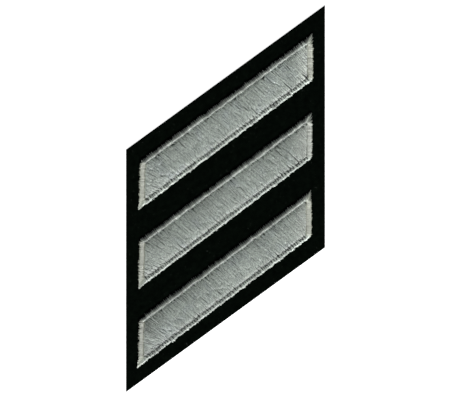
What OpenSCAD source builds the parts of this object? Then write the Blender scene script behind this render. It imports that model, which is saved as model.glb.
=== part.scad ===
// Service stripe: a slanted piece of black felt with embroidered grey bars, to be sewn on a sleeve.
// It lies on its back with the stitched face up. X runs across the sleeve and Y runs up it.
// The origin is the middle of the felt's back. All sizes are in millimetres.

/* [Felt] */
// Width of the felt between its two upright sides
felt_width = 50.8; // [48:0.1:60]
// Length of each upright side of the felt
felt_side = 61.9; // [61:0.1:75]
// Slant of the felt's upper and lower edges, in degrees above level
felt_slant = 36; // [35:0.1:37]
// Thickness of the felt where nothing is stitched
felt_thickness = 1.3; // [1:0.1:2]
// Depth to which the stitching presses the felt down
press_depth = 0.3; // [0.1:0.05:0.6]

/* [Bars] */
// Width of a bar between its two upright ends
bar_span = 44.3; // [40:0.1:46]
// Slant of the middle bar, in degrees above level
bar_slant = 36.8; // [36:0.1:38]
// Height of a bar's left end, measured straight up
left_end_height = 12.7; // [11:0.1:14]
// Height of a bar's right end, measured straight up
right_end_height = 11.9; // [11:0.1:14]
// Distance from one bar to the next, measured straight up
bar_pitch = 20.1; // [19:0.1:20.5]

/* [Embroidery] */
// Width of the satin border, measured square to the bar's edge
border_width = 1.5; // [1:0.1:2]
// Height of the border's crest above the felt
border_crest = 1.0; // [0.8:0.05:1.4]
// Height of the field's rim above the felt, where it meets the border
field_rim = 0.45; // [0.3:0.05:0.7]
// Height of the field's middle above the felt
field_crown = 0.7; // [0.6:0.05:1]
// Cut across each blunt corner of the border
blunt_cut = 0.7; // [0.3:0.1:1]
// Length over which each sharp corner of the border is drawn out
tip_length = 1.9; // [1:0.1:3]

/* [Hidden] */
// Clearance between neighbouring pieces
gap = 0.05;
// Steps of the border's rounded section, and of the field's rounded shoulder
border_steps = 12;
shoulder_steps = 5;
// Width of the field's rounded shoulder
shoulder_width = 2.4;
// Level of the felt that lies pressed under the stitching
pressed_level = felt_thickness - press_depth;
// Lean of a bar's upright ends: how far the lower corner stands left of the upper one
end_lean = 0.3;

// How each bar strays from an even layout, a row for the top, middle and bottom one:
// its middle's shift to the right and up, its extra slant in degrees, and how far the sharp
// corner at its lower left and at its upper right reach past the end
RIGHT = 0;
UP = 1;
TURN = 2;
LEFT_TIP = 3;
RIGHT_TIP = 4;
stray = [
    [ 0.20, -0.43, -0.2, 0.40, -0.35],
    [ 0.05, -0.46,  0.0, 0.10, -0.35],
    [-0.10, -0.42,  0.1, 0.35, -0.30],
];

// Names for the four corners of a bar or of the felt, in order round it
UPPER_LEFT = 0;
LOWER_LEFT = 1;
LOWER_RIGHT = 2;
UPPER_RIGHT = 3;

// Point at a share of the way from a to b
function between(a, b, share) = a + (b - a) * share;

// Point that lies a length away from a, on the way to b
function towards(a, b, length) = a + (b - a) * length / norm(b - a);

// Four corners with upright ends around a middle point
function slanted_corners(middle, span, slant, left_height, right_height, lean) =
    let (
        left = middle + [-span / 2, -span / 2 * tan(slant)],
        right = middle + [span / 2, span / 2 * tan(slant)]
    )
    [
        left + [lean / 2, left_height / 2],
        left + [-lean / 2, -left_height / 2],
        right + [0, -right_height / 2],
        right + [0, right_height / 2],
    ];

function felt_corners() =
    slanted_corners([0, 0], felt_width, felt_slant, felt_side, felt_side, 0);

function bar_corners(k) =
    slanted_corners(
        [stray[k][RIGHT], stray[k][UP] + (1 - k) * bar_pitch],
        bar_span, bar_slant + stray[k][TURN],
        left_end_height, right_end_height, end_lean
    );

// Corner at which two sides meet once both have moved inwards by a width
function inset_corner(before, corner, after, width) =
    let (
        arrive = (corner - before) / norm(corner - before),
        leave = (after - corner) / norm(after - corner),
        inward = [-arrive[1], arrive[0]],
        turn = cross(arrive, leave)
    )
    corner + width * (inward + arrive * (arrive * leave - 1) / turn);

function inset_corners(corners, width) =
    [for (i = [0:3]) inset_corner(corners[(i + 3) % 4], corners[i], corners[(i + 1) % 4], width)];

// Outside of a border: blunt corners are cut across and sharp ones are drawn out to a tip
function border_outside(k) =
    let (c = bar_corners(k))
    [
        towards(c[UPPER_LEFT], c[UPPER_RIGHT], blunt_cut),
        towards(c[UPPER_LEFT], c[LOWER_LEFT], blunt_cut),
        towards(c[LOWER_LEFT], c[UPPER_LEFT], tip_length),
        c[LOWER_LEFT] - [stray[k][LEFT_TIP], 0],
        towards(c[LOWER_RIGHT], c[LOWER_LEFT], blunt_cut),
        towards(c[LOWER_RIGHT], c[UPPER_RIGHT], blunt_cut),
        towards(c[UPPER_RIGHT], c[LOWER_RIGHT], tip_length),
        c[UPPER_RIGHT] + [stray[k][RIGHT_TIP], 0],
    ];

// Inside of a border: the same eight points, brought on to the four sides of the field
function border_inside(k) =
    let (c = inset_corners(bar_corners(k), border_width))
    [
        towards(c[UPPER_LEFT], c[UPPER_RIGHT], blunt_cut),
        c[UPPER_LEFT],
        towards(c[LOWER_LEFT], c[UPPER_LEFT], blunt_cut),
        c[LOWER_LEFT],
        towards(c[LOWER_RIGHT], c[LOWER_LEFT], blunt_cut),
        c[LOWER_RIGHT],
        towards(c[UPPER_RIGHT], c[LOWER_RIGHT], blunt_cut),
        c[UPPER_RIGHT],
    ];

// Lifts a flat outline to a level
function at_level(outline, level) = [for (p = outline) [p[0], p[1], level]];

// Walls between a list of rings that all have the same number of points
function wall_faces(ring_count, size, closed) =
    [
        for (r = [0:ring_count - (closed ? 1 : 2)])
            for (i = [0:size - 1])
                let (
                    j = (i + 1) % size,
                    low = r * size,
                    high = ((r + 1) % ring_count) * size
                )
                each [[low + i, high + i, low + j], [low + j, high + i, high + j]]
    ];

// Solid lofted from its lowest ring to its highest
module stack(rings) {
    size = len(rings[0]);
    top = (len(rings) - 1) * size;
    polyhedron(
        points = [for (ring = rings) each ring],
        faces = concat(
            wall_faces(len(rings), size, false),
            [[for (i = [0:size - 1]) i]],
            [[for (i = [size - 1:-1:0]) top + i]]
        ),
        convexity = 4
    );
}

// Solid lofted through rings that go round a section and come back to the first
module hoop(rings) {
    polyhedron(
        points = [for (ring = rings) each ring],
        faces = wall_faces(len(rings), len(rings[0]), true),
        convexity = 6
    );
}

// Felt, pressed down in the shape of each bar
module felt_backing() {
    color("#101211")
        difference() {
            linear_extrude(felt_thickness) polygon(felt_corners());
            for (k = [0:2])
                translate([0, 0, pressed_level])
                    linear_extrude(press_depth + 1) polygon(border_outside(k));
        }
}

// Field of long stitches across a bar, crowned along its middle
module field(k) {
    inside = inset_corners(bar_corners(k), border_width + gap);
    foot = pressed_level + gap;
    rim = felt_thickness + field_rim;
    rise = field_crown - field_rim;
    shoulder = [
        for (step = [0:shoulder_steps])
            let (angle = 90 * step / shoulder_steps)
            at_level(
                step == 0 ? inside : inset_corners(inside, shoulder_width * (1 - cos(angle))),
                rim + rise * sin(angle)
            )
    ];
    color("#99a198")
        stack(concat([at_level(inside, foot)], shoulder));
}

// Satin-stitched border round a bar, with a rounded crest
module border(k) {
    outside = border_outside(k);
    inside = border_inside(k);
    foot = pressed_level + gap;
    edge = gap / border_width;
    section = concat(
        [[edge, foot]],
        [
            for (step = [0:border_steps])
                let (angle = 180 * step / border_steps)
                [
                    edge + (1 - edge) * (1 - cos(angle)) / 2,
                    felt_thickness + border_crest * sin(angle)
                ]
        ],
        [[1, foot]]
    );
    color("#b9bab2")
        hoop([
            for (s = section)
                [for (i = [0:len(outside) - 1])
                    let (p = between(outside[i], inside[i], s[0]))
                    [p[0], p[1], s[1]]]
        ]);
}

felt_backing();
field(0);  // field_top
field(1);  // field_middle
field(2);  // field_bottom
border(0);  // border_top
border(1);  // border_middle
border(2);  // border_bottom
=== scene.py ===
"""Service stripe: the looks of a piece of embroidered felt, built round its packed frame.

Lengths are in metres, in the frame's axes: X across the sleeve, Y up it, Z out of the stitched face.
"""

from dataclasses import dataclass, replace
import math

import bpy
import numpy as np
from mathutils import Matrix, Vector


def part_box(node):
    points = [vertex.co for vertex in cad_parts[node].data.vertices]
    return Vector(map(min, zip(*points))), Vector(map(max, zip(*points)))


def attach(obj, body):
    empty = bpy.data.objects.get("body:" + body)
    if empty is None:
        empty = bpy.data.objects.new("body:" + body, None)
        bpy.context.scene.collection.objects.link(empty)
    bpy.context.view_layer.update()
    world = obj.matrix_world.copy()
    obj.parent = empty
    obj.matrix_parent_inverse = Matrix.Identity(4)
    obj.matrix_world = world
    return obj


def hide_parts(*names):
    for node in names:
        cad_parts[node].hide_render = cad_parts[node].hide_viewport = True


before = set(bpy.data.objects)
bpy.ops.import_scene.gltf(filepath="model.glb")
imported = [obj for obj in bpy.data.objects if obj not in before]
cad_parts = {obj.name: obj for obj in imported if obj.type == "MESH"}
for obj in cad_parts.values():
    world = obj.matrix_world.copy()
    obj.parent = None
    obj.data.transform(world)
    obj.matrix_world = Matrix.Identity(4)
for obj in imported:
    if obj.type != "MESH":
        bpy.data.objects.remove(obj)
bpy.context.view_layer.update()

MM = 0.001
BARS = ("top", "middle", "bottom")
UPPER_LEFT, LOWER_LEFT, LOWER_RIGHT, UPPER_RIGHT = range(4)
LEFT_SIDE, LOWER_SIDE, RIGHT_SIDE, UPPER_SIDE = range(4)
BAR_SEED = 100
FELT_SEED = 31

# The photograph's frame, seen from straight above
VIEW_WIDTH = 114.88 * MM
VIEW_CENTRE = (-0.128 * MM, -0.368 * MM)
CAMERA_HEIGHT = 0.4
CAMERA_RANGE = (0.01, 20)

# Stage: a white floor, a backdrop far round it, and one long lamp beyond the felt's lower end
FLOOR_DROP = 0.02 * MM
FLOOR_RADIUS = 3.0
FLOOR_GLOW = 0.99
BACKDROP_RADIUS = 3.2
BACKDROP_GLOW = 0.95
LAMP_PLACE = (0.1, -1.7, 1.28)
LAMP_SIZE = (1.4, 0.25)
LAMP_POWER = 80.0
SKY_STRENGTH = 0.04

# Levels of the frame that the looks start from
FELT_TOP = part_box("felt_backing")[1].z
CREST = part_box("border_top")[1].z
FIELD_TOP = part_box("field_top")[1].z
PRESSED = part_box("field_top")[0].z
LEVEL_TOLERANCE = 0.01 * MM

# Field surface: where its crown lies between the lower and upper side, and its rise to there from each side
CROWN_LEFT = 0.40
CROWN_RIGHT = 0.60
LOWER_RISE = 0.25 * MM
UPPER_RISE_LEFT = 0.46 * MM
UPPER_RISES_RIGHT = {"top": 0.10 * MM, "middle": 0.28 * MM, "bottom": 0.34 * MM}
UPPER_POWER = 3.3
LEFT_RISE = 0.08 * MM
RIGHT_RISE = 0.05 * MM
END_SHOULDER = 2.6 * MM
LOWER_RIM_RISE = 0.11 * MM
LOWER_RIM = 0.55 * MM
LOWER_RIM_INSET = 0.15 * MM
RIGHT_RIM_RISE = 0.12 * MM
RIGHT_RIM = 0.45 * MM

# Field rows: their pitch as a share of the layer's, their lean from square in degrees, and their needle holes
ROW_MARGIN = 6 * MM
ROW_PITCHES = (0.84, 1.16)
SHORTEST_ROW = 0.8 * MM
LEAN = 11.0
LEAN_LEFT = 32.0
LEAN_RIGHT = 5.0
LEAN_POWER = 1.5
LEAN_PERIOD = 4 * MM
LEAN_DRIFT = 1.0
LEAN_SPREAD = 0.5
FAN_REACH = 9.0 * MM
ROWS_TO_A_HOLE = (3, 4, 4, 5)
PAIRED_REACH = 6.0 * MM  # How far from a bar's right end the rows share a hole in pairs
HOLE_PULL = 0.5
GATHERS = (0.4, 1.2, 1.0, 1.0)  # How far rows gather at the left, lower, right and upper side
GATHER_POWER = 3.0
FIELD_TUCK = 0.25 * MM
END_TUCK = 0.15 * MM
HOLE_SHARE = 0.30  # Share of the rows that stop short of the upper side
HOLE_DEPTH = 0.45 * MM
HOLE_DEPTHS = (0.5, 1.5)
# Rows that lie higher are painted lighter and lower ones darker, as painted light and shade
ROW_TONE_SPREAD = 0.04
ROW_LIFT = 0.02 * MM

# Field stitches: how they are cut from a row, and their points, sections and sway
FIRST_STITCH = (0.3, 1.0)
SHORTEST_STITCH = 0.3 * MM
SHORTEST_REST = 0.4 * MM
MERGED_REST = 0.6 * MM
FIELD_POINTS = 9
FIELD_THICKNESS = 0.13 * MM
FIELD_WIDTHS = (0.80, 1.12)
FIELD_THICKNESSES = (0.85, 1.15)
SLIM_END = 0.6
WIDTH_SPREAD = 0.12
TONE_SPREAD = 0.09
WOBBLE = 0.028 * MM
LEVEL_SPREAD = 0.015 * MM
KNOB_LENGTH = 0.7 * MM
KNOB_SPREAD = 0.08 * MM
STITCH_DIVE = 0.16 * MM
DIVE_LENGTH = 0.16 * MM
DIVE_SHARE = 0.35
STITCH_BOW = 0.03 * MM

# Brightness of each bar's threads, and how it and their warmth change towards the bar's ends. The lower bars
# are darkened as painted shade, the brightening towards the right end is painted light, and the outer parts'
# glow there is a painted highlight
BAR_TONES = {"top": 1.0, "middle": 0.95, "bottom": 0.91}
RIGHT_TONE = 0.07
RIGHT_END_TONES = {"top": 0.44, "middle": 0.23, "bottom": 0.18}
RIGHT_END_POWER = 1.5
LEFT_END_TONES = {"top": 0.0, "middle": 0.02, "bottom": -0.24}
LEFT_END_REACH = 7.0 * MM
LEFT_END_WARMTH = 0.2
RIGHT_END_WARMTH = 0.32
LEFT_SIDE_TONES = {"top": -0.01, "middle": -0.02, "bottom": -0.15}
RIGHT_SIDE_WARMTHS = {"top": 1.0, "middle": 0.5, "bottom": 1.0}
PAINTED_HIGHLIGHT_POWER = 4.0

# A gap at one field's corner, and a seam at which another one's stitches are cut
GAP_BAR = "top"
GAP_PLACE = (20.7 * MM, 31.25 * MM)
GAP_REACH = 0.50 * MM
GAP_DRAW = 0.35 * MM
SEAM_BAR = "bottom"
SEAM = ((-3.8 * MM, -23.3 * MM), (-0.4 * MM, -22.9 * MM))

# Underlay: a mass of thread under a field, darkened as painted shade for the gaps between its stitches
UNDERLAY_INSET = 0.10 * MM
UNDERLAY_DROP = 0.22 * MM
UNDERLAY_STEP = 0.7 * MM
UNDERLAY_SHADE_TONE = 0.16

# Track: the way round a border, from which its stitches start
TRACK_STEP = 0.05 * MM
TIP_REACH = 0.20 * MM
BLUNT_CUT = 0.55 * MM
OUTER_WEIGHT = 0.75  # Weight of the outer edge in the length of the track, against the inner one
SIDE_SLOPE = 0.8  # How far up or down stitches point where they wholly belong to the upper or lower side

# Border: short satin stitches in bunches that share their needle holes
BORDER_PITCH = 0.25 * MM
BORDER_PITCHES = (0.8, 1.2)
BORDER_SHARES = (0, 0.02, 0.05, 0.11, 0.18, 0.25, 0.31, 0.42, 0.56, 0.68, 0.76, 0.84, 0.92, 1)
BORDER_THICKNESS = 0.17 * MM
BORDER_THICKNESSES = (0.9, 1.1)
BORDER_WIDTHS = (0.85, 1.15)
NARROWING = 0.7
END_ROUNDING = 0.07
END_WIDTH = 0.5
BUNCH_SIZES = (2, 3, 3, 4)
TUFT_SIZES = (1, 2, 2, 2)
TUFT_SLOPE = 0.5  # How far up stitches point where they stand in tufts
OUTER_PULL_POWER = 1.5
INNER_PULL_POWER = 5
SCALLOP = 0.07 * MM
BUNCH_SHARE = 0.75  # Share of a random value that changes from bunch to bunch
BEAD_PERIOD = 0.8 * MM
KNOB_PERIOD = 2 * MM
KNOB_LIFT = 0.03 * MM
KNOB_LIMIT = 1.5
RAMP_SPREAD = 0.48
STRAND_LENGTH = 1.5 * MM
STRAND_LENGTHS = (0.6, 1.4)
STRAND_SLANT = 1.5
STRAND_SLIDE = 0.60
STITCH_SLIDE = 0.30
SLIDE_LIMIT = 2
RAGGED_LIMIT = 1.8
TUCK = 0.02 * MM
TUCK_SPREAD = 0.05 * MM
OUTER_FOOT = FELT_TOP - 0.12 * MM
CREST_CLEARANCE = 0.05 * MM
CREST_PERIOD = 1.6 * MM
CREST_DRIFT = 0.04 * MM
CREST_SPREAD = 0.02 * MM
NEEDLE_DIP = 0.18 * MM
NEEDLE_POWER = 12
BORDER_TONE_PERIOD = 2.5 * MM
BORDER_TONE_DRIFT = 0.03

# Stitches under the border's, and the padded ridge that both lie on, darkened as painted shade
UNDER_SHARES = (0, 0.05, 0.12, 0.25, 0.5, 0.75, 0.88, 1)
UNDER_PITCH = 0.30 * MM
UNDER_STRAY = 0.1
UNDER_DROP = 0.18 * MM
UNDER_SHADE_TONE = 0.16
UNDER_REACH = 0.25 * MM
RIDGE_INSET = 0.42 * MM
RIDGE_STEP = 0.8 * MM
RIDGE_POINTS = 9
RIDGE_DROP = 1.5 * BORDER_THICKNESS
RIDGE_SHADE_TONE = 0.09
RIDGE_WARMTH = 0.3

# Thread: two plies that make a full turn round each other in the length of the lay, in millimetres
LAY = 2.2
SIDES_OF_A_THREAD = 6
GOLDEN_SHARE = (math.sqrt(5) - 1) / 2
# Painted shade in the groove between the plies: its width and its tone
GROOVE_WIDTH = 0.4
GROOVE_SHADE_TONE = 0.62
CLOUDS = 0.1
FILAMENTS = 0.10
FILAMENT_SCALE = (0.9, 30.0, 1.0)
FIELD_FLECKS = 0.60
BORDER_FLECKS = 0.16
FLECK_LENGTH = 0.24
WARM_ROUGHNESS = 0.12
ROUGHNESS_RANGE = (-0.06, 0.08)

# Spans of a noise: that of most of its values, and those over which patches and lint set in
NOISE_SPAN = (0.3, 0.7)
BLUE_SPAN = (0.52, 0.72)
BLUE_MOST = 0.6
LINT_SPAN = (0.68, 0.80)

# Felt: its mesh's steps along and up it, its uneven faces, its sink beside a bar and its worn edge
FELT_STEPS = (0.36 * MM, 0.30 * MM)
FELT_FACE = ((0.7 * MM, 0.018 * MM), (4 * MM, 0.03 * MM))  # Period and size of each unevenness
BACK_FACE = (0.9 * MM, 0.012 * MM)
BACK_EDGE = 0.01 * MM
SINK = 0.10 * MM
SINK_REACH = 0.9 * MM
PRESS_INSET = 0.15 * MM
PRESS_SLOPE = 0.4 * MM
PRESS_CLEARANCE = 0.05 * MM
EDGE_DROP = 0.10 * MM
EDGE_REACH = 0.35 * MM
FELT_DARK = (0.0002, 0.0009, 0.0004, 1)
FELT_LIGHT = (0.0020, 0.0036, 0.0023, 1)
LINT_COLOUR = (0.02, 0.023, 0.02, 1)
MOTTLE_RELIEF = 0.7
WHITE = (1, 1, 1, 1)


@dataclass
class Layer:
    """One layer of a field's running stitches."""

    pitch: float  # Distance between its rows
    lift: float  # Height over the field's surface
    width: float  # Width of its threads
    lengths: tuple  # Shortest and longest stitch
    sway: float  # Spread of the stitches' ends sideways
    kept: float  # Share of the stitches that are there
    tone: float  # Brightness of its threads
    spread: float  # Spread of that from stitch to stitch


LAYERS = (
    # The lowest layer's dark tone is painted shade under the layers over it
    Layer(
        pitch=0.30 * MM, lift=-0.12 * MM, width=0.32 * MM, lengths=(3.0 * MM, 6.0 * MM),
        sway=0.05 * MM, kept=1.0, tone=0.36, spread=0.15
    ),
    Layer(
        pitch=0.225 * MM, lift=0.0, width=0.245 * MM, lengths=(1.6 * MM, 4.0 * MM),
        sway=0.065 * MM, kept=1.0, tone=0.99, spread=0.06
    ),
    Layer(
        pitch=0.6 * MM, lift=0.05 * MM, width=0.24 * MM, lengths=(1.2 * MM, 2.4 * MM),
        sway=0.06 * MM, kept=0.2, tone=1.0, spread=0.08
    ),
)


@dataclass
class Lie:
    """How satin stitches lie along one kind of side, from their outer to their inner ends."""

    crest: float  # Share of a stitch at which it is highest
    rise: float  # Power of its rise to there: 2 is round and more is squarer
    ramp: float  # How much it climbs evenly on its way there
    fall: float  # Power of its fall from there: 1 is straight and 2 is round
    outer_pull: float  # How far a bunch closes up at its outer ends, from 0 to 1
    inner_pull: float  # How far it closes up at its inner ends
    knob: float  # Spread of the bunches' outer ends
    ragged: float  # Spread of the single outer ends
    inner_foot: float  # Level of the inner ends
    reach: float  # How far the outer ends go past the outline
    short: float  # How far the inner ends stop short of the field
    lower: float  # How much lower the crest is than the frame's
    outer_width: float  # Width of a thread near its outer end
    inner_width: float  # Width of it near its inner end
    slide: float  # How much it drops evenly on its way down from the crest
    depth: float  # Spread of the bunches' inner ends
    bead: float  # Spread of the brightness from bead to bead
    wander: float  # Spread of the crest's place from strand to strand
    fade: float  # Painted shade on the outer ends, or painted highlight on them where it is under 0
    tone: float  # Brightness of the threads, as painted light and shade: lighter on the lower side, which faces the lamp, and darker at the ends
    spread: float  # Spread of it from thread to thread
    glow: float  # How much painted highlight brightens their outer parts at the bar's right end


LOWER_LIE = Lie(
    crest=0.255, rise=12.0, ramp=0.128 * MM, fall=1.25, outer_pull=0.12, inner_pull=0.62, knob=0.07 * MM,
    ragged=0.09 * MM, inner_foot=FIELD_TOP - 0.17 * MM, reach=-0.17 * MM, short=0.13 * MM,
    lower=0.27 * MM, outer_width=0.33 * MM, inner_width=0.19 * MM, slide=0.0, depth=0.17 * MM, bead=0.16,
    wander=0.02, fade=0.0, tone=1.22, spread=0.10, glow=0.36
)
UPPER_LIE = Lie(
    crest=0.75, rise=2.0, ramp=0.0, fall=4.0, outer_pull=0.70, inner_pull=0.20, knob=0.06 * MM,
    ragged=0.13 * MM, inner_foot=FIELD_TOP - 0.58 * MM, reach=0.12 * MM, short=0.22 * MM,
    lower=0.0, outer_width=0.15 * MM, inner_width=0.25 * MM, slide=0.13 * MM, depth=0.05 * MM, bead=0.24,
    wander=0.09, fade=0.38, tone=1.00, spread=0.13, glow=0.08
)
LEFT_LIE = Lie(
    crest=0.45, rise=7.0, ramp=0.0, fall=4.5, outer_pull=0.03, inner_pull=0.12, knob=0.04 * MM,
    ragged=0.13 * MM, inner_foot=FIELD_TOP - 0.24 * MM, reach=0.04 * MM, short=0.0,
    lower=0.12 * MM, outer_width=0.34 * MM, inner_width=0.34 * MM, slide=0.0, depth=0.05 * MM, bead=0.03,
    wander=0.0, fade=-0.09, tone=0.81, spread=0.05, glow=0.0
)
RIGHT_LIE = replace(
    LEFT_LIE, rise=8.0, fall=7.0, ragged=0.09 * MM, inner_foot=FIELD_TOP - 0.16 * MM, lower=0.20 * MM,
    bead=0.06, fade=-0.30, tone=0.95
)
LIES = {"lower": LOWER_LIE, "upper": UPPER_LIE, "left": LEFT_LIE, "right": RIGHT_LIE}

# How far the borders' outer edges are drawn in, by bar and side
DRAWN_IN = {
    "top": {"lower": 0.0, "left": 0.0, "right": 0.0},
    "middle": {"lower": 0.05 * MM, "left": 0.0, "right": 0.09 * MM},
    "bottom": {"lower": 0.035 * MM, "left": 0.09 * MM, "right": 0.04 * MM},
}


def lowest_ring(node):
    """Plan positions of a CAD node's corners at its lowest level, without repeats."""
    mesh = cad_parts[node].data
    points = np.unique(np.round([v.co for v in mesh.vertices], decimals=7), axis=0)
    return points[points[:, 2] < points[:, 2].min() + LEVEL_TOLERANCE, :2]


def in_order(points):
    """Four corners as upper left, lower left, lower right and upper right."""
    by_x = points[np.argsort(points[:, 0])]
    left = by_x[:2][np.argsort(-by_x[:2, 1])]
    right = by_x[2:][np.argsort(by_x[2:, 1])]
    return np.concatenate([left, right])


class Outline:
    """A four-sided outline, its corners in order round it, with the inside on the left of each side."""

    def __init__(self, corners):
        self.corners = corners
        sides = np.roll(corners, -1, axis=0) - corners
        along = sides / np.linalg.norm(sides, axis=1, keepdims=True)
        self.inward = np.stack([-along[:, 1], along[:, 0]], axis=1)

    def distances(self, points):
        """How far inside each side the points lie: a column for the left, lower, right and upper side."""
        return np.einsum("...k,sk->...s", points, self.inward) - np.sum(self.corners * self.inward, axis=1)

    def grown(self, width):
        """The outline with all its sides moved outwards."""
        corners = []
        for i in range(4):
            before, after = self.inward[i - 1], self.inward[i]
            level = [self.corners[i] @ before - width, self.corners[i] @ after - width]
            corners.append(np.linalg.solve(np.array([before, after]), level))
        return Outline(np.array(corners))

    def clip(self, point, direction):
        """The stretch of a line that lies inside, as two distances from the point, or None."""
        depth = self.distances(point)
        slope = self.inward @ direction
        meets = -depth / slope
        start = meets[slope > 0].max()
        stop = meets[slope < 0].min()
        return (start, stop) if stop > start else None

    def grid(self, step_along, step_up):
        """Points that fill the outline at about these steps, in rows from its lower side up."""
        upper_left, lower_left, lower_right, upper_right = self.corners
        columns = int(np.linalg.norm(lower_right - lower_left) / step_along)
        rows = int(np.linalg.norm(upper_left - lower_left) / step_up)
        s = np.linspace(0, 1, columns)[None, :, None]
        t = np.linspace(0, 1, rows)[:, None, None]
        lower = lower_left * (1 - s) + lower_right * s
        upper = upper_left * (1 - s) + upper_right * s
        return lower * (1 - t) + upper * t


class Bar:
    """One embroidered bar, as its CAD field and border have it."""

    def __init__(self, name):
        self.name = name
        self.inner = Outline(in_order(lowest_ring("field_" + name)))
        ring = lowest_ring("border_" + name)
        self.width = -self.inner.distances(ring)[:, LOWER_SIDE].min()
        self.outer = self.inner.grown(self.width)
        self.left_tip = ring[ring[:, 1].argmin()]
        self.right_tip = ring[ring[:, 1].argmax()]


def near(distances, reach):
    """1 at a distance of 0 or less, and evenly less from there to 0 at the reach."""
    return (1 - distances / reach).clip(0, 1)


def placed(name, data, place=(0, 0, 0)):
    """A new object in the scene."""
    made = bpy.data.objects.new(name, data)
    made.location = place
    bpy.context.scene.collection.objects.link(made)
    return made


def before_and_after(places, crest):
    """How far places from 0 to 1 lie before a crest and after it, as shares of the way to either end."""
    return ((crest - places) / crest).clip(0, 1), ((places - crest) / (1 - crest)).clip(0, 1)


def eased(part):
    """A share from 0 to 1, with a soft start and stop."""
    return part * part * (3 - 2 * part)


def drift(rng, places, period, size):
    """Smooth random variation along a line: one value for each place, which changes over about a period."""
    knots = rng.normal(0, size, int(places.max() / period) + 3)
    at = places / period
    whole = at.astype(int)
    ease = eased(at - whole)
    return knots[whole] * (1 - ease) + knots[whole + 1] * ease


def lattice(rng, points, period, size):
    """Smooth random variation over a plane: one value for each point."""
    at = (points - points.reshape(-1, 2).min(axis=0)) / period
    counts = at.reshape(-1, 2).max(axis=0).astype(int) + 2
    knots = rng.normal(0, size, counts)
    whole = at.astype(int)
    ease = eased(at - whole)
    i, j = whole[..., 0], whole[..., 1]
    low = knots[i, j] * (1 - ease[..., 0]) + knots[i + 1, j] * ease[..., 0]
    high = knots[i, j + 1] * (1 - ease[..., 0]) + knots[i + 1, j + 1] * ease[..., 0]
    return low * (1 - ease[..., 1]) + high * ease[..., 1]


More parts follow.
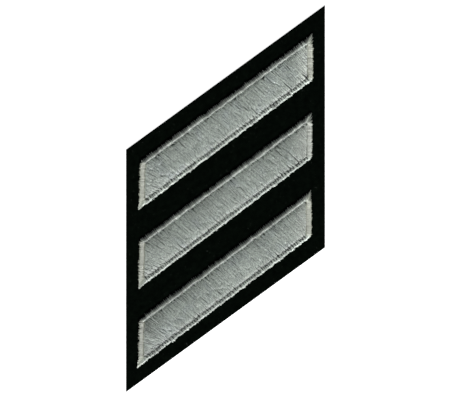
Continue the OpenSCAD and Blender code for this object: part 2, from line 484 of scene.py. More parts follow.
class Cloth:
    """Gathers closed shells for one mesh, with their thread coordinates, tone and warmth."""

    def __init__(self):
        self.points = []
        self.faces = []
        self.uvs = []
        self.tones = []
        self.warmths = []
        self.count = 0

    def add(self, points, faces, uvs, tone, warmth):
        self.faces += [[i + self.count for i in face] for face in faces]
        self.points.append(points)
        self.uvs.append(uvs)
        self.tones.append(np.broadcast_to(tone, len(points)))
        self.warmths.append(np.broadcast_to(warmth, len(points)))
        self.count += len(points)

    def add_threads(self, centres, widths, thicknesses, tones, warmths):
        """Adds closed flattened tubes along paths that each lie in an upright plane.

        centres has a row of points for each thread, widths, thicknesses and tones a value for each point,
        and warmths one for each thread.
        """
        threads, rows = centres.shape[:2]
        sides = SIDES_OF_A_THREAD
        run = centres[:, -1, :2] - centres[:, 0, :2]
        run /= np.linalg.norm(run, axis=1, keepdims=True)
        aside = np.stack([-run[:, 1], run[:, 0], np.zeros(threads)], axis=1)[:, None, :]
        ahead = np.gradient(centres, axis=1)
        ahead /= np.linalg.norm(ahead, axis=2, keepdims=True)
        upward = np.cross(ahead, aside)
        angles = np.arange(sides) * math.tau / sides
        out = (
            aside[:, :, None, :] * (widths / 2)[:, :, None, None] * np.cos(angles)[:, None]
            + upward[:, :, None, :] * (thicknesses / 2)[:, :, None, None] * np.sin(angles)[:, None]
        )
        points = (centres[:, :, None, :] + out).reshape(-1, 3)
        steps = np.linalg.norm(np.diff(centres, axis=1), axis=2)
        lengths = np.concatenate([np.zeros((threads, 1)), np.cumsum(steps, axis=1)], axis=1) / MM
        lengths += (np.arange(threads) * GOLDEN_SHARE % 1)[:, None] * LAY
        faces = []
        uvs = []
        for t in range(threads):
            first = t * rows * sides
            for r in range(rows - 1):
                for s in range(sides):
                    low = first + r * sides
                    after = (s + 1) % sides
                    faces.append([low + s, low + after, low + sides + after, low + sides + s])
                    u, v = lengths[t, r:r + 2], (s / sides, (s + 1) / sides)
                    uvs += [(u[0], v[0]), (u[0], v[1]), (u[1], v[1]), (u[1], v[0])]
            last = first + (rows - 1) * sides
            faces.append([first + s for s in reversed(range(sides))])
            faces.append([last + s for s in range(sides)])
            uvs += [(lengths[t, 0], s / sides) for s in reversed(range(sides))]
            uvs += [(lengths[t, -1], s / sides) for s in range(sides)]
        self.add(points, faces, uvs, np.repeat(tones, sides), np.repeat(warmths, rows * sides))

    def add_slab(self, top, bottom, tone, warmth=0.0):
        """Adds a closed slab between two grids of points."""
        rows, columns = top.shape[:2]
        size = rows * columns
        index = np.arange(size).reshape(rows, columns)
        a, b, c, d = (x.ravel() for x in (index[:-1, :-1], index[:-1, 1:], index[1:, 1:], index[1:, :-1]))
        faces = np.stack([a, b, c, d], axis=1).tolist()
        faces += (np.stack([d, c, b, a], axis=1) + size).tolist()
        loop = np.concatenate([index[0, :-1], index[:-1, -1], index[-1, :0:-1], index[:0:-1, 0]])
        ends = np.roll(loop, -1)
        faces += np.stack([loop, loop + size, ends + size, ends], axis=1).tolist()
        self.add_flat(np.concatenate([top.reshape(-1, 3), bottom.reshape(-1, 3)]), faces, tone, warmth)

    def add_hoop(self, rings, tone, warmth):
        """Adds a closed hoop through rings of points that go round a section and meet again."""
        count, size = rings.shape[:2]
        faces = []
        for r in range(count):
            low, high = r * size, ((r + 1) % count) * size
            for i in range(size):
                j = (i + 1) % size
                faces.append([low + i, low + j, high + j, high + i])
        self.add_flat(rings.reshape(-1, 3), faces, tone, warmth)

    def add_flat(self, points, faces, tone, warmth):
        """Adds a shell whose thread coordinates are its places in plan, in millimetres."""
        uvs = [tuple(points[i, :2] / MM) for face in faces for i in face]
        self.add(points, faces, uvs, tone, warmth)

    def make(self, name, material):
        """The mesh object of all that was gathered, smooth-shaded."""
        mesh = bpy.data.meshes.new(name)
        mesh.from_pydata(np.concatenate(self.points).tolist(), [], self.faces)
        uvs = np.concatenate([np.array(shell) for shell in self.uvs]).ravel()
        mesh.uv_layers.new(name="Thread").data.foreach_set("uv", uvs.astype(np.float32))
        for label, values in (("tone", self.tones), ("warmth", self.warmths)):
            attribute = mesh.attributes.new(label, "FLOAT", "POINT")
            attribute.data.foreach_set("value", np.concatenate(values).astype(np.float32))
        mesh.polygons.foreach_set("use_smooth", np.ones(len(mesh.polygons), bool))
        mesh.materials.append(material)
        mesh.update()
        return placed(name, mesh)


def field_level(bar, points):
    """Height of a field's crowned surface at places in plan."""
    left, lower, right, upper = np.moveaxis(bar.inner.distances(points), -1, 0)
    along = (left / (left + right)).clip(0, 1)
    crown = CROWN_LEFT + (CROWN_RIGHT - CROWN_LEFT) * along
    upper_rise = UPPER_RISE_LEFT + (UPPER_RISES_RIGHT[bar.name] - UPPER_RISE_LEFT) * along
    below, above = before_and_after(lower / (lower + upper), crown)
    ends = LEFT_RISE * near(left, END_SHOULDER) ** 2 + RIGHT_RISE * near(right, END_SHOULDER) ** 2
    ends += RIGHT_RIM_RISE * near(right, RIGHT_RIM)
    across = LOWER_RISE * below ** 2 + upper_rise * above ** UPPER_POWER
    across += LOWER_RIM_RISE * near(lower + LOWER_RIM_INSET, LOWER_RIM)
    return FIELD_TOP - np.hypot(across, ends)


def lean_at(place, length):
    """Lean of the field's stitches from square, in radians, at a place along the bar."""
    left = near(place, FAN_REACH)
    right = near(length - place, FAN_REACH)
    return np.radians(LEAN + (LEAN_LEFT - LEAN) * left ** LEAN_POWER + (LEAN_RIGHT - LEAN) * right)


class Row:
    """A straight row of running stitches across a field, through a middle halfway up the bar.

    Its first and last place are distances from there, and its ends shift to holes that rows share.
    """

    def __init__(self, bar, middle, direction, stretch, shift, unlike):
        self.middle = middle
        self.direction = direction
        self.aside = np.array([-direction[1], direction[0]])
        self.first, self.last = stretch
        sides = [bar.inner.distances(middle + place * direction).argmin() for place in stretch]
        self.first_side, self.last_side = sides
        self.shift = shift
        self.unlike = unlike  # How much higher than its neighbours it is, with painted light on higher rows and painted shade on lower ones

    def trim(self, rng, past_gap):
        """Moves the first and last place to where the row's stitches start and stop."""
        if self.last_side == UPPER_SIDE:
            self.last -= HOLE_DEPTH * (rng.random() < HOLE_SHARE) * rng.uniform(*HOLE_DEPTHS)
        else:
            self.last += END_TUCK
        if self.first_side == LEFT_SIDE:
            self.first -= END_TUCK
        to_gap = np.array(GAP_PLACE) - self.middle
        if past_gap and abs(to_gap @ self.aside) < GAP_REACH:
            self.first = max(self.first, to_gap @ self.direction + GAP_REACH)

    def crossing(self, segment):
        """How far along the row it crosses a segment, or None."""
        start, stop = (np.array(point) for point in segment)
        far, share = np.linalg.solve(np.column_stack([self.direction, start - stop]), start - self.middle)
        return far if 0 < share < 1 else None


def field_rows(bar, rng, pitch):
    """Yields the rows across a field, from left to right."""
    inner = bar.inner
    tucked = inner.grown(FIELD_TUCK)
    start = (inner.corners[UPPER_LEFT] + inner.corners[LOWER_LEFT]) / 2
    stop = (inner.corners[UPPER_RIGHT] + inner.corners[LOWER_RIGHT]) / 2
    length = np.linalg.norm(stop - start)
    along = (stop - start) / length
    square = np.array([-along[1], along[0]])
    places = []
    place = -ROW_MARGIN
    while place < length + ROW_MARGIN:
        places.append(place)
        place += pitch / math.cos(lean_at(np.array(place), length)) * rng.uniform(*ROW_PITCHES)
    places = np.array(places)
    leans = lean_at(places, length) + drift(rng, places + ROW_MARGIN, LEAN_PERIOD, math.radians(LEAN_DRIFT))
    leans += rng.normal(0, math.radians(LEAN_SPREAD), len(places))
    unlike = np.diff(rng.normal(0, 1, len(places) + 1)) / math.sqrt(2)
    numbers = np.arange(len(places))
    groups = np.repeat(numbers, rng.choice(ROWS_TO_A_HOLE, len(places)))[:len(places)]
    groups = np.where(places > length - PAIRED_REACH, len(places) + numbers // 2, groups)
    holes = np.bincount(groups, places)[groups] / np.bincount(groups)[groups]
    for place, lean, shift, offset in zip(places, leans, (holes - places) * HOLE_PULL, unlike):
        direction = square * math.cos(lean) - along * math.sin(lean)
        middle = start + along * place
        stretch = tucked.clip(middle, direction)
        if stretch is not None and stretch[1] - stretch[0] > SHORTEST_ROW:
            yield Row(bar, middle, direction, stretch, shift * along, offset)


def cut_row(rng, row, layer, seam):
    """Yields where each stitch of a row starts and stops. They are cut at a seam, if there is one."""
    start = row.first
    stop = start + rng.uniform(*FIRST_STITCH) * layer.lengths[1]
    while start < row.last - SHORTEST_REST:
        stop = min(stop, row.last)
        if seam is not None and start + SHORTEST_STITCH < seam < stop:
            stop = seam
        if row.last - stop < MERGED_REST:
            stop = row.last
        if rng.random() < layer.kept:
            yield start, stop
        start = stop
        stop = start + rng.uniform(*layer.lengths)


def stitch_steps(length):
    """Distances along a field stitch at which it has its points: they are close where its ends dive in."""
    dive = np.array([0.0, DIVE_SHARE, 1.0]) * DIVE_LENGTH
    between = np.linspace(DIVE_LENGTH, length - DIVE_LENGTH, FIELD_POINTS - 2 * len(dive) + 2)[1:-1]
    return np.concatenate([dive, between, length - dive[::-1]])


def field_stitch(bar, rng, row, layer, start, stop):
    """Points of one stitch of a row."""
    steps = stitch_steps(stop - start)
    shares = steps / (stop - start)
    sway = rng.normal(0, layer.sway) * (1 - shares) + rng.normal(0, layer.sway) * shares
    sway += rng.normal(0, WOBBLE, FIELD_POINTS) * (4 * shares * (1 - shares))
    plan = row.middle + (start + steps)[:, None] * row.direction + sway[:, None] * row.aside
    if stop == row.last:
        plan = plan + shares[:, None] ** GATHER_POWER * row.shift * GATHERS[row.last_side]
    if start == row.first:
        plan = plan + (1 - shares[:, None]) ** GATHER_POWER * row.shift * GATHERS[row.first_side]
    level = field_level(bar, plan) + (layer.lift + row.unlike * ROW_LIFT) + rng.normal(0, LEVEL_SPREAD)
    dives = near(np.minimum(steps, stop - start - steps), DIVE_LENGTH) ** 2
    level -= STITCH_DIVE * dives + STITCH_BOW * (2 * shares - 1) ** 2
    if start == row.first:
        level += rng.normal(0, KNOB_SPREAD) * near(steps, KNOB_LENGTH)
    return np.column_stack([plan, level])


def field_light(bar, place):
    """Brightness and warmth of a field's thread at a place in plan, brightened towards the right end as
    painted light.
    """
    left, right = bar.inner.distances(place)[[LEFT_SIDE, RIGHT_SIDE]]
    near_left, near_right = near(left, END_SHOULDER), near(right, END_SHOULDER)
    tone = 1 + RIGHT_TONE * left / (left + right) + RIGHT_END_TONES[bar.name] * near_right ** RIGHT_END_POWER
    tone += LEFT_END_TONES[bar.name] * near(left, LEFT_END_REACH)
    return tone, LEFT_END_WARMTH * near_left + RIGHT_END_WARMTH * near_right


def field_threads(bar, rng, cloth, layer):
    """Adds one layer of running stitches: each rises out of one needle hole and dives into the next."""
    centres, tones, warmths = [], [], []
    for row in field_rows(bar, rng, layer.pitch):
        row.trim(rng, past_gap=bar.name == GAP_BAR and layer is not LAYERS[0])
        # Painted shade: the bar's tone darkens the lower bars, and the lowest layer's tone darkens that layer
        # under the others
        row_tone = BAR_TONES[bar.name] * layer.tone * (1 + row.unlike * ROW_TONE_SPREAD)
        seam = row.crossing(SEAM) if bar.name == SEAM_BAR else None
        for start, stop in cut_row(rng, row, layer, seam):
            centres.append(field_stitch(bar, rng, row, layer, start, stop))
            tone, warmth = field_light(bar, centres[-1][0, :2])
            tones.append(row_tone * tone * (1 + rng.normal(0, layer.spread)))
            warmths.append(warmth)
    centres = np.array(centres)
    shape = centres.shape[:2]
    slim = np.ones(FIELD_POINTS)
    slim[[0, -1]] = SLIM_END
    each = (shape[0], 1)
    widths = layer.width * rng.uniform(*FIELD_WIDTHS, each) * slim * rng.normal(1, WIDTH_SPREAD, shape)
    thicknesses = FIELD_THICKNESS * rng.uniform(*FIELD_THICKNESSES, each) * slim
    tones = np.array(tones)[:, None] * rng.normal(1, TONE_SPREAD, shape)
    cloth.add_threads(centres, widths, thicknesses, tones, np.array(warmths))


def field_underlay(bar, cloth):
    """Adds the mass of thread under a field's stitches, darkened as painted shade."""
    plan = bar.inner.grown(-UNDERLAY_INSET).grid(UNDERLAY_STEP, UNDERLAY_STEP)
    level = field_level(bar, plan) - UNDERLAY_DROP
    top = np.dstack([plan, level])
    bottom = np.dstack([plan, np.full_like(level, PRESSED)])
    cloth.add_slab(top, bottom, UNDERLAY_SHADE_TONE)


class Track:
    """The way round a border: its outer and inner points at each place along it.

    Stitches stand square to the four sides and fan round the corners.
    """

    def __init__(self, bar):
        outer, inner, warmths = [], [], []
        drawn_out = bar.right_tip - bar.inner.corners[UPPER_RIGHT]
        right_tip = bar.right_tip + drawn_out / np.linalg.norm(drawn_out) * TIP_REACH
        tips = {LOWER_LEFT: bar.left_tip, UPPER_RIGHT: right_tip}
        out = -bar.inner.inward * bar.width
        for side in range(4):
            corner = (side + 1) % 4
            start, stop = bar.inner.corners[side], bar.inner.corners[corner]
            self.add_run(outer, start + out[side], stop + out[side])
            self.add_run(inner, start, stop)
            warmth = 1.0 if side in (LEFT_SIDE, RIGHT_SIDE) else 0.0
            warmths += [warmth] * len(inner[-1])
            first, last = stop + out[side], stop + out[corner]
            if corner in tips:
                route = [first, tips[corner], last]
            else:
                end = bar.outer.corners[corner]
                route = [first, towards(end, first, BLUNT_CUT), towards(end, last, BLUNT_CUT), last]
            before = len(outer)
            for a, b in zip(route[:-1], route[1:]):
                self.add_run(outer, a, b)
                inner.append(np.broadcast_to(stop, outer[-1].shape))
            warmths += np.linspace(warmth, 1 - warmth, sum(len(run) for run in outer[before:])).tolist()
        self.outer, self.inner = np.concatenate(outer), np.concatenate(inner)
        self.warmth = np.array(warmths)
        steps = [np.linalg.norm(np.diff(line, axis=0), axis=1) for line in (self.outer, self.inner)]
        steps = OUTER_WEIGHT * steps[0] + (1 - OUTER_WEIGHT) * steps[1]
        self.along = np.concatenate([[0], np.cumsum(steps)])
        self.length = self.along[-1]

    @staticmethod
    def add_run(line, a, b):
        """Adds the points of a straight run to a line."""
        count = max(2, round(np.linalg.norm(b - a) / TRACK_STEP))
        line.append(a + (b - a) * np.linspace(0, 1, count)[:, None])

    def at(self, places, values):
        """Values of the track, such as its outer points, at places along it."""
        places = places % self.length
        if values.ndim == 1:
            return np.interp(places, self.along, values)
        return np.stack([np.interp(places, self.along, column) for column in values.T], axis=-1)

    def outward(self, places):
        """The way that stitches point at places along the track."""
        run = self.at(places, self.outer) - self.at(places, self.inner)
        return run / np.linalg.norm(run, axis=-1, keepdims=True)


def towards(a, b, length):
    """The point at a length from a, on the way to b."""
    return a + (b - a) / np.linalg.norm(b - a) * length


def side_parts(outward):
    """How far stitches that point each way belong to each kind of side, from 0 to 1."""
    lower = (-outward[:, 1] / SIDE_SLOPE).clip(0, 1)
    upper = (outward[:, 1] / SIDE_SLOPE).clip(0, 1)
    left = (1 - lower - upper) * (outward[:, 0] < 0)
    return {"lower": lower, "upper": upper, "left": left, "right": 1 - lower - upper - left}


def lies(parts):
    """The Lie of stitches that belong to the sides in these parts, with an array for each of its values."""
    return Lie(**{
        key: sum(getattr(lie, key) * parts[side] for side, lie in LIES.items()) for key in vars(LOWER_LIE)
    })


def arch(shares, lie, top):
    """Level of a stitch at shares of its length: up from its outer foot, over its crest and down."""
    crest, rise, fall, ramp, slide, foot = (
        values[:, None] for values in (lie.crest, lie.rise, lie.fall, lie.ramp, lie.slide, lie.inner_foot)
    )
    before, after = before_and_after(shares, crest)
    rising = OUTER_FOOT + (top - ramp * before - OUTER_FOOT) * (1 - before ** rise) ** (1 / rise)
    falling = top - slide * after - (top - slide - foot) * after ** fall
    return np.where(shares < crest, rising, falling)


def bunched_places(rng, track):
    """Places of stitches along a border, with the middle and the number of the bunch of each."""
    places, middles, numbers = [], [], []
    place = 0.0
    while place < track.length - BORDER_PITCH:
        in_tufts = track.outward(place)[1] > TUFT_SLOPE
        size = rng.choice(TUFT_SIZES if in_tufts else BUNCH_SIZES)
        bunch = place + np.cumsum(BORDER_PITCH * rng.uniform(*BORDER_PITCHES, size))
        places += bunch.tolist()
        middles += [bunch.mean()] * size
        numbers += [len(numbers)] * size
        place = bunch[-1]
    return np.array(places), np.array(middles), np.array(numbers)


def even_places(rng, track):
    """Places of the stitches under a border's, as bunches of one."""
    middles = np.arange(0, track.length - UNDER_PITCH, UNDER_PITCH)
    places = middles + rng.uniform(-UNDER_STRAY, UNDER_STRAY, len(middles)) * UNDER_PITCH
    return places, middles, np.arange(len(places))


def strands(rng, places):
    """The number of the strand that each place is in, and how far along it that is, from -0.5 to 0.5."""
    count = int(places.max() / STRAND_LENGTH / STRAND_LENGTHS[0]) + 2
    cuts = np.cumsum(STRAND_LENGTH * rng.uniform(*STRAND_LENGTHS, count))
    numbers = np.searchsorted(cuts, places)
    starts = np.concatenate([[0], cuts])
    return numbers, (places - starts[numbers]) / (starts[numbers + 1] - starts[numbers]) - 0.5


def clumps(rng, numbers, places, period):
    """Random values that change mostly from bunch to bunch, and partly slowly along the border."""
    bunches = rng.normal(0, 1, len(places))[numbers]
    return BUNCH_SHARE * bunches + (1 - BUNCH_SHARE) * drift(rng, places, period, 1.0)


def varied(rng, lie, places, beads):
    """A Lie that varies from bead to bead, strand to strand and stitch to stitch."""
    count = len(places)
    strand, within = strands(rng, places)
    slide = lie.slide * (1 + STRAND_SLIDE * rng.normal(0, 1, count)[strand]).clip(0, SLIDE_LIMIT)
    slide = slide * (1 + STITCH_SLIDE * rng.normal(0, 1, count)).clip(0, SLIDE_LIMIT)
    crest = lie.crest + lie.wander * (rng.normal(0, 1, count)[strand] + STRAND_SLANT * within)
    return replace(lie, ramp=lie.ramp * (1 + RAMP_SPREAD * beads), slide=slide, crest=crest)


def satin_levels(rng, lie, places, knobs, shares, under):
    """Levels of satin stitches at shares of their length."""
    top = CREST - BORDER_THICKNESS / 2 - CREST_CLEARANCE - lie.lower
    top = top + drift(rng, places, CREST_PERIOD, CREST_DRIFT)
    top += rng.normal(0, CREST_SPREAD, len(places)) + KNOB_LIFT * knobs.clip(-KNOB_LIMIT, KNOB_LIMIT)
    top -= UNDER_DROP * under
    return arch(shares, lie, top[:, None]) - NEEDLE_DIP * shares ** NEEDLE_POWER


def satin_sections(rng, lie, shares):
    """Widths and thicknesses of satin stitches at shares of their length."""
    near_end = (np.minimum(shares, 1 - shares) / END_ROUNDING).clip(0, 1)
    narrowing = shares ** NARROWING
    widths = lie.outer_width[:, None] * (1 - narrowing) + lie.inner_width[:, None] * narrowing
    each = (len(widths), 1)
    widths = widths * rng.uniform(*BORDER_WIDTHS, each) * (END_WIDTH + (1 - END_WIDTH) * near_end ** 0.5)
    return widths, BORDER_THICKNESS * rng.uniform(*BORDER_THICKNESSES, each) * np.ones_like(shares)


def border_stitches(bar, rng, cloth, under):
    """Adds one layer of the satin stitches round a bar: the upper one, or the one under it, darkened as
    painted shade.
    """
    track = Track(bar)
    places, middles, numbers = (even_places if under else bunched_places)(rng, track)
    count = len(places)
    outward = track.outward(places)
    parts = side_parts(outward)
    beads = clumps(rng, numbers, places, BEAD_PERIOD)
    lie = varied(rng, lies(parts), places, beads)
    lie.inner_foot -= UNDER_DROP * under
    shares = np.array(UNDER_SHARES if under else BORDER_SHARES)[None, :]
    outer_part, inner_part = before_and_after(shares, lie.crest[:, None])

    # Where each stitch would end, as seen from each of its points, since a bunch closes up at its ends
    pull = lie.outer_pull[:, None] * outer_part ** OUTER_PULL_POWER
    pull = pull + lie.inner_pull[:, None] * (1 - (1 - inner_part) ** INNER_PULL_POWER)
    spots = places[:, None] + (middles - places)[:, None] * pull
    outer, inner = track.at(spots, track.outer), track.at(spots, track.inner)
    knobs = clumps(rng, numbers, middles, KNOB_PERIOD)
    sizes = np.bincount(numbers)[numbers]
    scallops = SCALLOP * (2 * (places - middles) / (sizes * BORDER_PITCH)) ** 2
    reach = lie.reach + lie.knob * knobs - scallops - UNDER_REACH * under
    reach = reach - sum(draw * parts[side] for side, draw in DRAWN_IN[bar.name].items())
    reach = reach + lie.ragged * rng.normal(0, 1, count).clip(-RAGGED_LIMIT, RAGGED_LIMIT)
    tuck = rng.normal(TUCK, TUCK_SPREAD, count) - lie.short + lie.depth * rng.normal(0, 1, count)[numbers]
    if bar.name == GAP_BAR:
        to_gap = np.linalg.norm(inner[:, -1] - np.array(GAP_PLACE), axis=1)
        tuck = tuck - GAP_DRAW * near(to_gap, 2 * GAP_REACH)
    outer += outward[:, None, :] * reach[:, None, None]
    inner -= outward[:, None, :] * tuck[:, None, None]
    plan = outer + (inner - outer) * shares[:, :, None]
    levels = satin_levels(rng, lie, places, knobs, shares, under)
    widths, thicknesses = satin_sections(rng, lie, shares)

    # Brightness of each stitch, and how it changes outwards and towards the bar's ends, with painted shade
    # and painted highlight
    tones = 1 + drift(rng, places, BORDER_TONE_PERIOD, BORDER_TONE_DRIFT)
    tones = tones + rng.normal(0, 1, count) * lie.spread + lie.bead * beads
    # Painted light and shade: the bar's tone darkens the lower bars, and the lie's tone lightens the lower
    # side and darkens the ends
    tones *= BAR_TONES[bar.name] * lie.tone
    # Painted shade darkens the stitches under the border's
    if under:
        tones *= UNDER_SHADE_TONE
    lengths = np.linalg.norm(outer[:, 0] - inner[:, -1], axis=1)
    # Painted shade darkens the stitches' outer parts, and painted highlight lightens them where it is under 0
    fade = lie.fade * (bar.width / lengths) ** 2
    tones = tones[:, None] * (1 - fade[:, None].clip(-1, 1) * outer_part)
    to_right = (inner[:, -1, 0] - bar.inner.corners[LOWER_LEFT, 0]) / np.ptp(bar.inner.corners[:, 0])
    # Painted highlight on the stitches' outer parts towards the bar's right end
    tones *= 1 + (lie.glow * to_right.clip(0, 1) ** PAINTED_HIGHLIGHT_POWER)[:, None] * (1 - inner_part)
    warmths = track.at(places, track.warmth)
    in_left_half = to_right < 0.5
    tones *= 1 + (LEFT_SIDE_TONES[bar.name] * warmths * in_left_half)[:, None]
    warmths = warmths * np.where(in_left_half, 1.0, RIGHT_SIDE_WARMTHS[bar.name])
    centres = np.concatenate([plan, levels[:, :, None]], axis=2)
    cloth.add_threads(centres, widths, thicknesses, tones, warmths)


def border_ridge(bar, cloth):
    """Adds the padded ridge under the satin stitches, darkened as painted shade."""
    track = Track(bar)
    places = np.linspace(0, track.length, int(track.length / RIDGE_STEP), endpoint=False)
    outward = track.outward(places)
    lie = lies(side_parts(outward))
    outer = track.at(places, track.outer) - outward * RIDGE_INSET
    inner = track.at(places, track.inner) + outward * RIDGE_INSET
    top = (CREST - RIDGE_DROP - lie.lower)[:, None]
    shares = np.linspace(0, 1, RIDGE_POINTS)
    levels = arch(shares[None, :], lie, top) - BORDER_THICKNESS / 2
    rings = [
        np.column_stack([outer + (inner - outer) * share, level])
        for share, level in zip(shares, levels.T)
    ]
    for foot in (inner, outer):
        rings.append(np.column_stack([foot, np.full(len(foot), PRESSED)]))
    cloth.add_hoop(np.array(rings), RIDGE_SHADE_TONE, RIDGE_WARMTH)


class Graph:
    """A material's nodes: adds a node with its settings and inputs, a link being an output socket."""

    def __init__(self, name):
        self.material = bpy.data.materials.new(name)
        self.material.use_nodes = True
        self.tree = self.material.node_tree
        self.tree.nodes.clear()

    def add(self, kind, inputs=None, **settings):
        node = self.tree.nodes.new("ShaderNode" + kind)
        for key, value in settings.items():
            setattr(node, key, value)
        for key, value in (inputs or {}).items():
            if isinstance(value, bpy.types.NodeSocket):
                self.tree.links.new(value, node.inputs[key])
            else:
                node.inputs[key].default_value = value
        return node

    def math(self, operation, a, b=0.0):
        return self.add("Math", {0: a, 1: b}, operation=operation).outputs[0]

    def mix(self, factor, a, b, blend="MIX"):
        """A mix of two colours, whose sockets come after those for numbers and vectors."""
        return self.add("Mix", {0: factor, 6: a, 7: b}, data_type="RGBA", blend_type=blend).outputs[2]

    def noise(self, vector, **inputs):
        return self.add("TexNoise", {"Vector": vector, **inputs}).outputs["Fac"]

    def fit(self, value, span=(0.0, 1.0), to=(0.0, 1.0)):
        """A value mapped from one span to another and kept within that."""
        limits = {"From Min": span[0], "From Max": span[1], "To Min": to[0], "To Max": to[1]}
        return self.add("MapRange", {"Value": value, **limits}).outputs[0]

    def spread(self, noise, size):
        """A factor that a noise varies round 1."""
        return self.fit(noise, NOISE_SPAN, (1 - size, 1 + size))

    def product(self, first, *others):
        for other in others:
            first = self.math("MULTIPLY", first, other)
        return first

    def finish(self, shader):
        self.add("OutputMaterial", {"Surface": shader.outputs[0]})
        return self.material


def thread_material(name, colour, warm_colour, blue_colour, roughness, shine, flecks):
    """Rayon thread: tone and warmth from the stitch, cloudy tints, and a fine twist in relief, with painted
    shade in its grooves.
    """
    g = Graph(name)
    tone, warmth = (g.add("Attribute", attribute_name=label).outputs["Fac"] for label in ("tone", "warmth"))
    place = g.add("TexCoord").outputs["Object"]
    clouds = g.noise(place, Scale=160.0, Detail=3.0, Roughness=0.6)
    patches = g.noise(place, Scale=230.0, Detail=2.0, Distortion=0.6)
    tinted = g.mix(g.fit(patches, BLUE_SPAN, (0.0, BLUE_MOST)), colour, blue_colour)
    tinted = g.mix(warmth, tinted, warm_colour)
    uv = g.add("UVMap", uv_map="Thread").outputs["UV"]
    split = g.add("SeparateXYZ", {"Vector": uv})
    turn = g.math("SUBTRACT", split.outputs["Y"], g.math("DIVIDE", split.outputs["X"], LAY))
    ridge = g.math("ABSOLUTE", g.math("SINE", g.math("MULTIPLY", turn, math.tau)))
    # Painted shade in the grooves between the plies
    groove_shade = g.fit(ridge, (0.0, GROOVE_WIDTH), (GROOVE_SHADE_TONE, 1.0))
    along = g.add("Mapping", {"Vector": uv, "Scale": (1 / FLECK_LENGTH, 0.0, 1.0)}).outputs[0]
    fleck = g.spread(g.noise(along, Scale=1.0, Detail=1.0), flecks)
    stretched = g.add("Mapping", {"Vector": uv, "Scale": FILAMENT_SCALE}).outputs[0]
    hairs = g.noise(stretched, Scale=1.0, Detail=2.0)
    level = g.product(tone, g.spread(clouds, CLOUDS), groove_shade, fleck, g.spread(hairs, FILAMENTS))
    shade = g.add("CombineColor", {"Red": level, "Green": level, "Blue": level}).outputs[0]
    relief = g.math("ADD", g.math("POWER", ridge, 0.5), hairs)
    rough = g.fit(hairs, to=[roughness + change for change in ROUGHNESS_RANGE])
    return g.finish(g.add("BsdfPrincipled", {
        "Base Color": g.mix(1.0, tinted, shade, "MULTIPLY"),
        "Roughness": g.math("ADD", rough, g.math("MULTIPLY", warmth, WARM_ROUGHNESS)),
        "Normal": g.add("Bump", {"Height": relief, "Strength": 0.5, "Distance": 0.03 * MM}).outputs[0],
        "IOR": 1.7,
        "Specular IOR Level": shine,
        "Anisotropic": 0.9,
        "Anisotropic Rotation": 0.25,
        "Tangent": g.add("Tangent", direction_type="UV_MAP", uv_map="Thread").outputs[0],
        "Sheen Weight": 0.1,
    }))


def felt_material():
    """Black wool felt: matted fibres in faint relief, with specks of lint."""
    g = Graph("black_felt")
    place = g.add("TexCoord").outputs["Object"]
    mottle = g.noise(place, Scale=700.0, Detail=5.0, Roughness=0.7)
    fibres = g.noise(place, Scale=2600.0, Detail=3.0, Distortion=2.5)
    specks = g.noise(place, Scale=1300.0, Detail=2.0, Distortion=1.0)
    base = g.mix(g.fit(mottle, NOISE_SPAN), FELT_DARK, FELT_LIGHT)
    relief = g.math("ADD", g.math("MULTIPLY", mottle, MOTTLE_RELIEF), fibres)
    return g.finish(g.add("BsdfPrincipled", {
        "Base Color": g.mix(g.fit(specks, LINT_SPAN), base, LINT_COLOUR),
        "Roughness": 0.95,
        "Normal": g.add("Bump", {"Height": relief, "Strength": 0.6, "Distance": 0.12 * MM}).outputs[0],
        "Specular IOR Level": 0.01,
    }))


def felt_surface(bars, outline):
    """The felt's closed mesh: a grid of points over and under it, pressed in under the bars."""
    rng = np.random.default_rng(FELT_SEED)
    plan = outline.grid(*FELT_STEPS)
    top = FELT_TOP
    for period, size in FELT_FACE:
        top = top + lattice(rng, plan, period, size)
    for bar in bars:
        depth = bar.outer.distances(plan).min(axis=-1)
        top -= SINK * np.exp(depth.clip(None, 0) / SINK_REACH)
        press = ((depth - PRESS_INSET) / PRESS_SLOPE).clip(0, 1)
        top = top * (1 - press) + (PRESSED - PRESS_CLEARANCE) * press
    edge = outline.distances(plan).min(axis=-1)
    top -= EDGE_DROP * near(edge, EDGE_REACH) ** 2
    under = np.abs(lattice(rng, plan, *BACK_FACE))
    under[edge < BACK_EDGE] = 0.0
    cloth = Cloth()
    cloth.add_slab(np.dstack([plan, top]), np.dstack([plan, under]), tone=1.0)
    return cloth.make("felt_cloth", felt_material())


def camera():
    """The camera, which looks straight down as the photograph does."""
    data = bpy.data.cameras.new("camera")
    data.type = "ORTHO"
    data.ortho_scale = VIEW_WIDTH
    data.clip_start, data.clip_end = CAMERA_RANGE
    bpy.context.scene.camera = placed("camera", data, (*VIEW_CENTRE, CAMERA_HEIGHT))


def stage_material(name, colour, glow):
    """A matte finish that gives off light of its own."""
    g = Graph(name)
    return g.finish(g.add("BsdfPrincipled", {
        "Base Color": colour,
        "Roughness": 0.9,
        "Specular IOR Level": 0.0,
        "Emission Color": WHITE,
        "Emission Strength": glow,
    }))


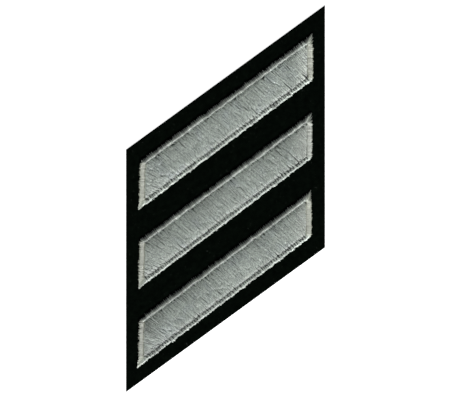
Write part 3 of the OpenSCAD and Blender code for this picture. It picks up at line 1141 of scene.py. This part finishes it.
def stage():
    """A white floor and, far round it, a pale backdrop that lights nothing."""
    bpy.ops.mesh.primitive_circle_add(
        vertices=96, radius=FLOOR_RADIUS, fill_type="NGON", location=(0, 0, -FLOOR_DROP)
    )
    floor = bpy.context.object
    floor.name = "floor"
    floor.data.materials.append(stage_material("white_floor", (0.5, 0.5, 0.5, 1), FLOOR_GLOW))
    bpy.ops.mesh.primitive_uv_sphere_add(segments=64, ring_count=32, radius=BACKDROP_RADIUS)
    backdrop = bpy.context.object
    backdrop.name = "backdrop"
    backdrop.data.materials.append(stage_material("pale_backdrop", (0, 0, 0, 1), BACKDROP_GLOW))
    backdrop.visible_diffuse = False
    backdrop.visible_glossy = False
    backdrop.visible_shadow = False


def lights():
    """A long lamp that faces the frame's origin, its longer side level, and a faint even sky."""
    data = bpy.data.lights.new("strip", "AREA")
    data.shape = "RECTANGLE"
    data.size, data.size_y = LAMP_SIZE
    data.energy = LAMP_POWER
    lamp = placed("strip", data, LAMP_PLACE)
    lamp.rotation_euler = (-lamp.location).to_track_quat("-Z", "Y").to_euler()
    world = bpy.data.worlds.new("world")
    world.use_nodes = True
    background = world.node_tree.nodes["Background"]
    background.inputs["Color"].default_value = WHITE
    background.inputs["Strength"].default_value = SKY_STRENGTH
    bpy.context.scene.world = world
    bpy.context.scene.view_settings.view_transform = "Standard"


camera()
stage()
lights()

bars = [Bar(name) for name in BARS]
field_finish = thread_material(
    "field_thread", colour=(0.36, 0.404, 0.366, 1), warm_colour=(0.44, 0.44, 0.41, 1),
    blue_colour=(0.344, 0.388, 0.388, 1), roughness=0.46, shine=0.6, flecks=FIELD_FLECKS
)
border_finish = thread_material(
    "border_thread", colour=(0.366, 0.406, 0.368, 1), warm_colour=(0.335, 0.358, 0.284, 1),
    blue_colour=(0.366, 0.406, 0.380, 1), roughness=0.40, shine=1.0, flecks=BORDER_FLECKS
)
for number, bar in enumerate(bars):
    rng = np.random.default_rng(BAR_SEED + number)
    threads = Cloth()
    field_underlay(bar, threads)
    for layer in LAYERS:
        field_threads(bar, rng, threads, layer)
    field = threads.make("field_" + bar.name + "_threads", field_finish)
    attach(field, "root")
    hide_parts("field_" + bar.name)

    stitches = Cloth()
    border_ridge(bar, stitches)
    border_stitches(bar, rng, stitches, under=True)
    border_stitches(bar, rng, stitches, under=False)
    border = stitches.make("border_" + bar.name + "_stitches", border_finish)
    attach(border, "root")
    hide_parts("border_" + bar.name)

felt_outline = Outline(in_order(lowest_ring("felt_backing")))
felt = felt_surface(bars, felt_outline)
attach(felt, "root")
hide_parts("felt_backing")
FELT_LENGTH = np.ptp(felt_outline.corners[:, 1])
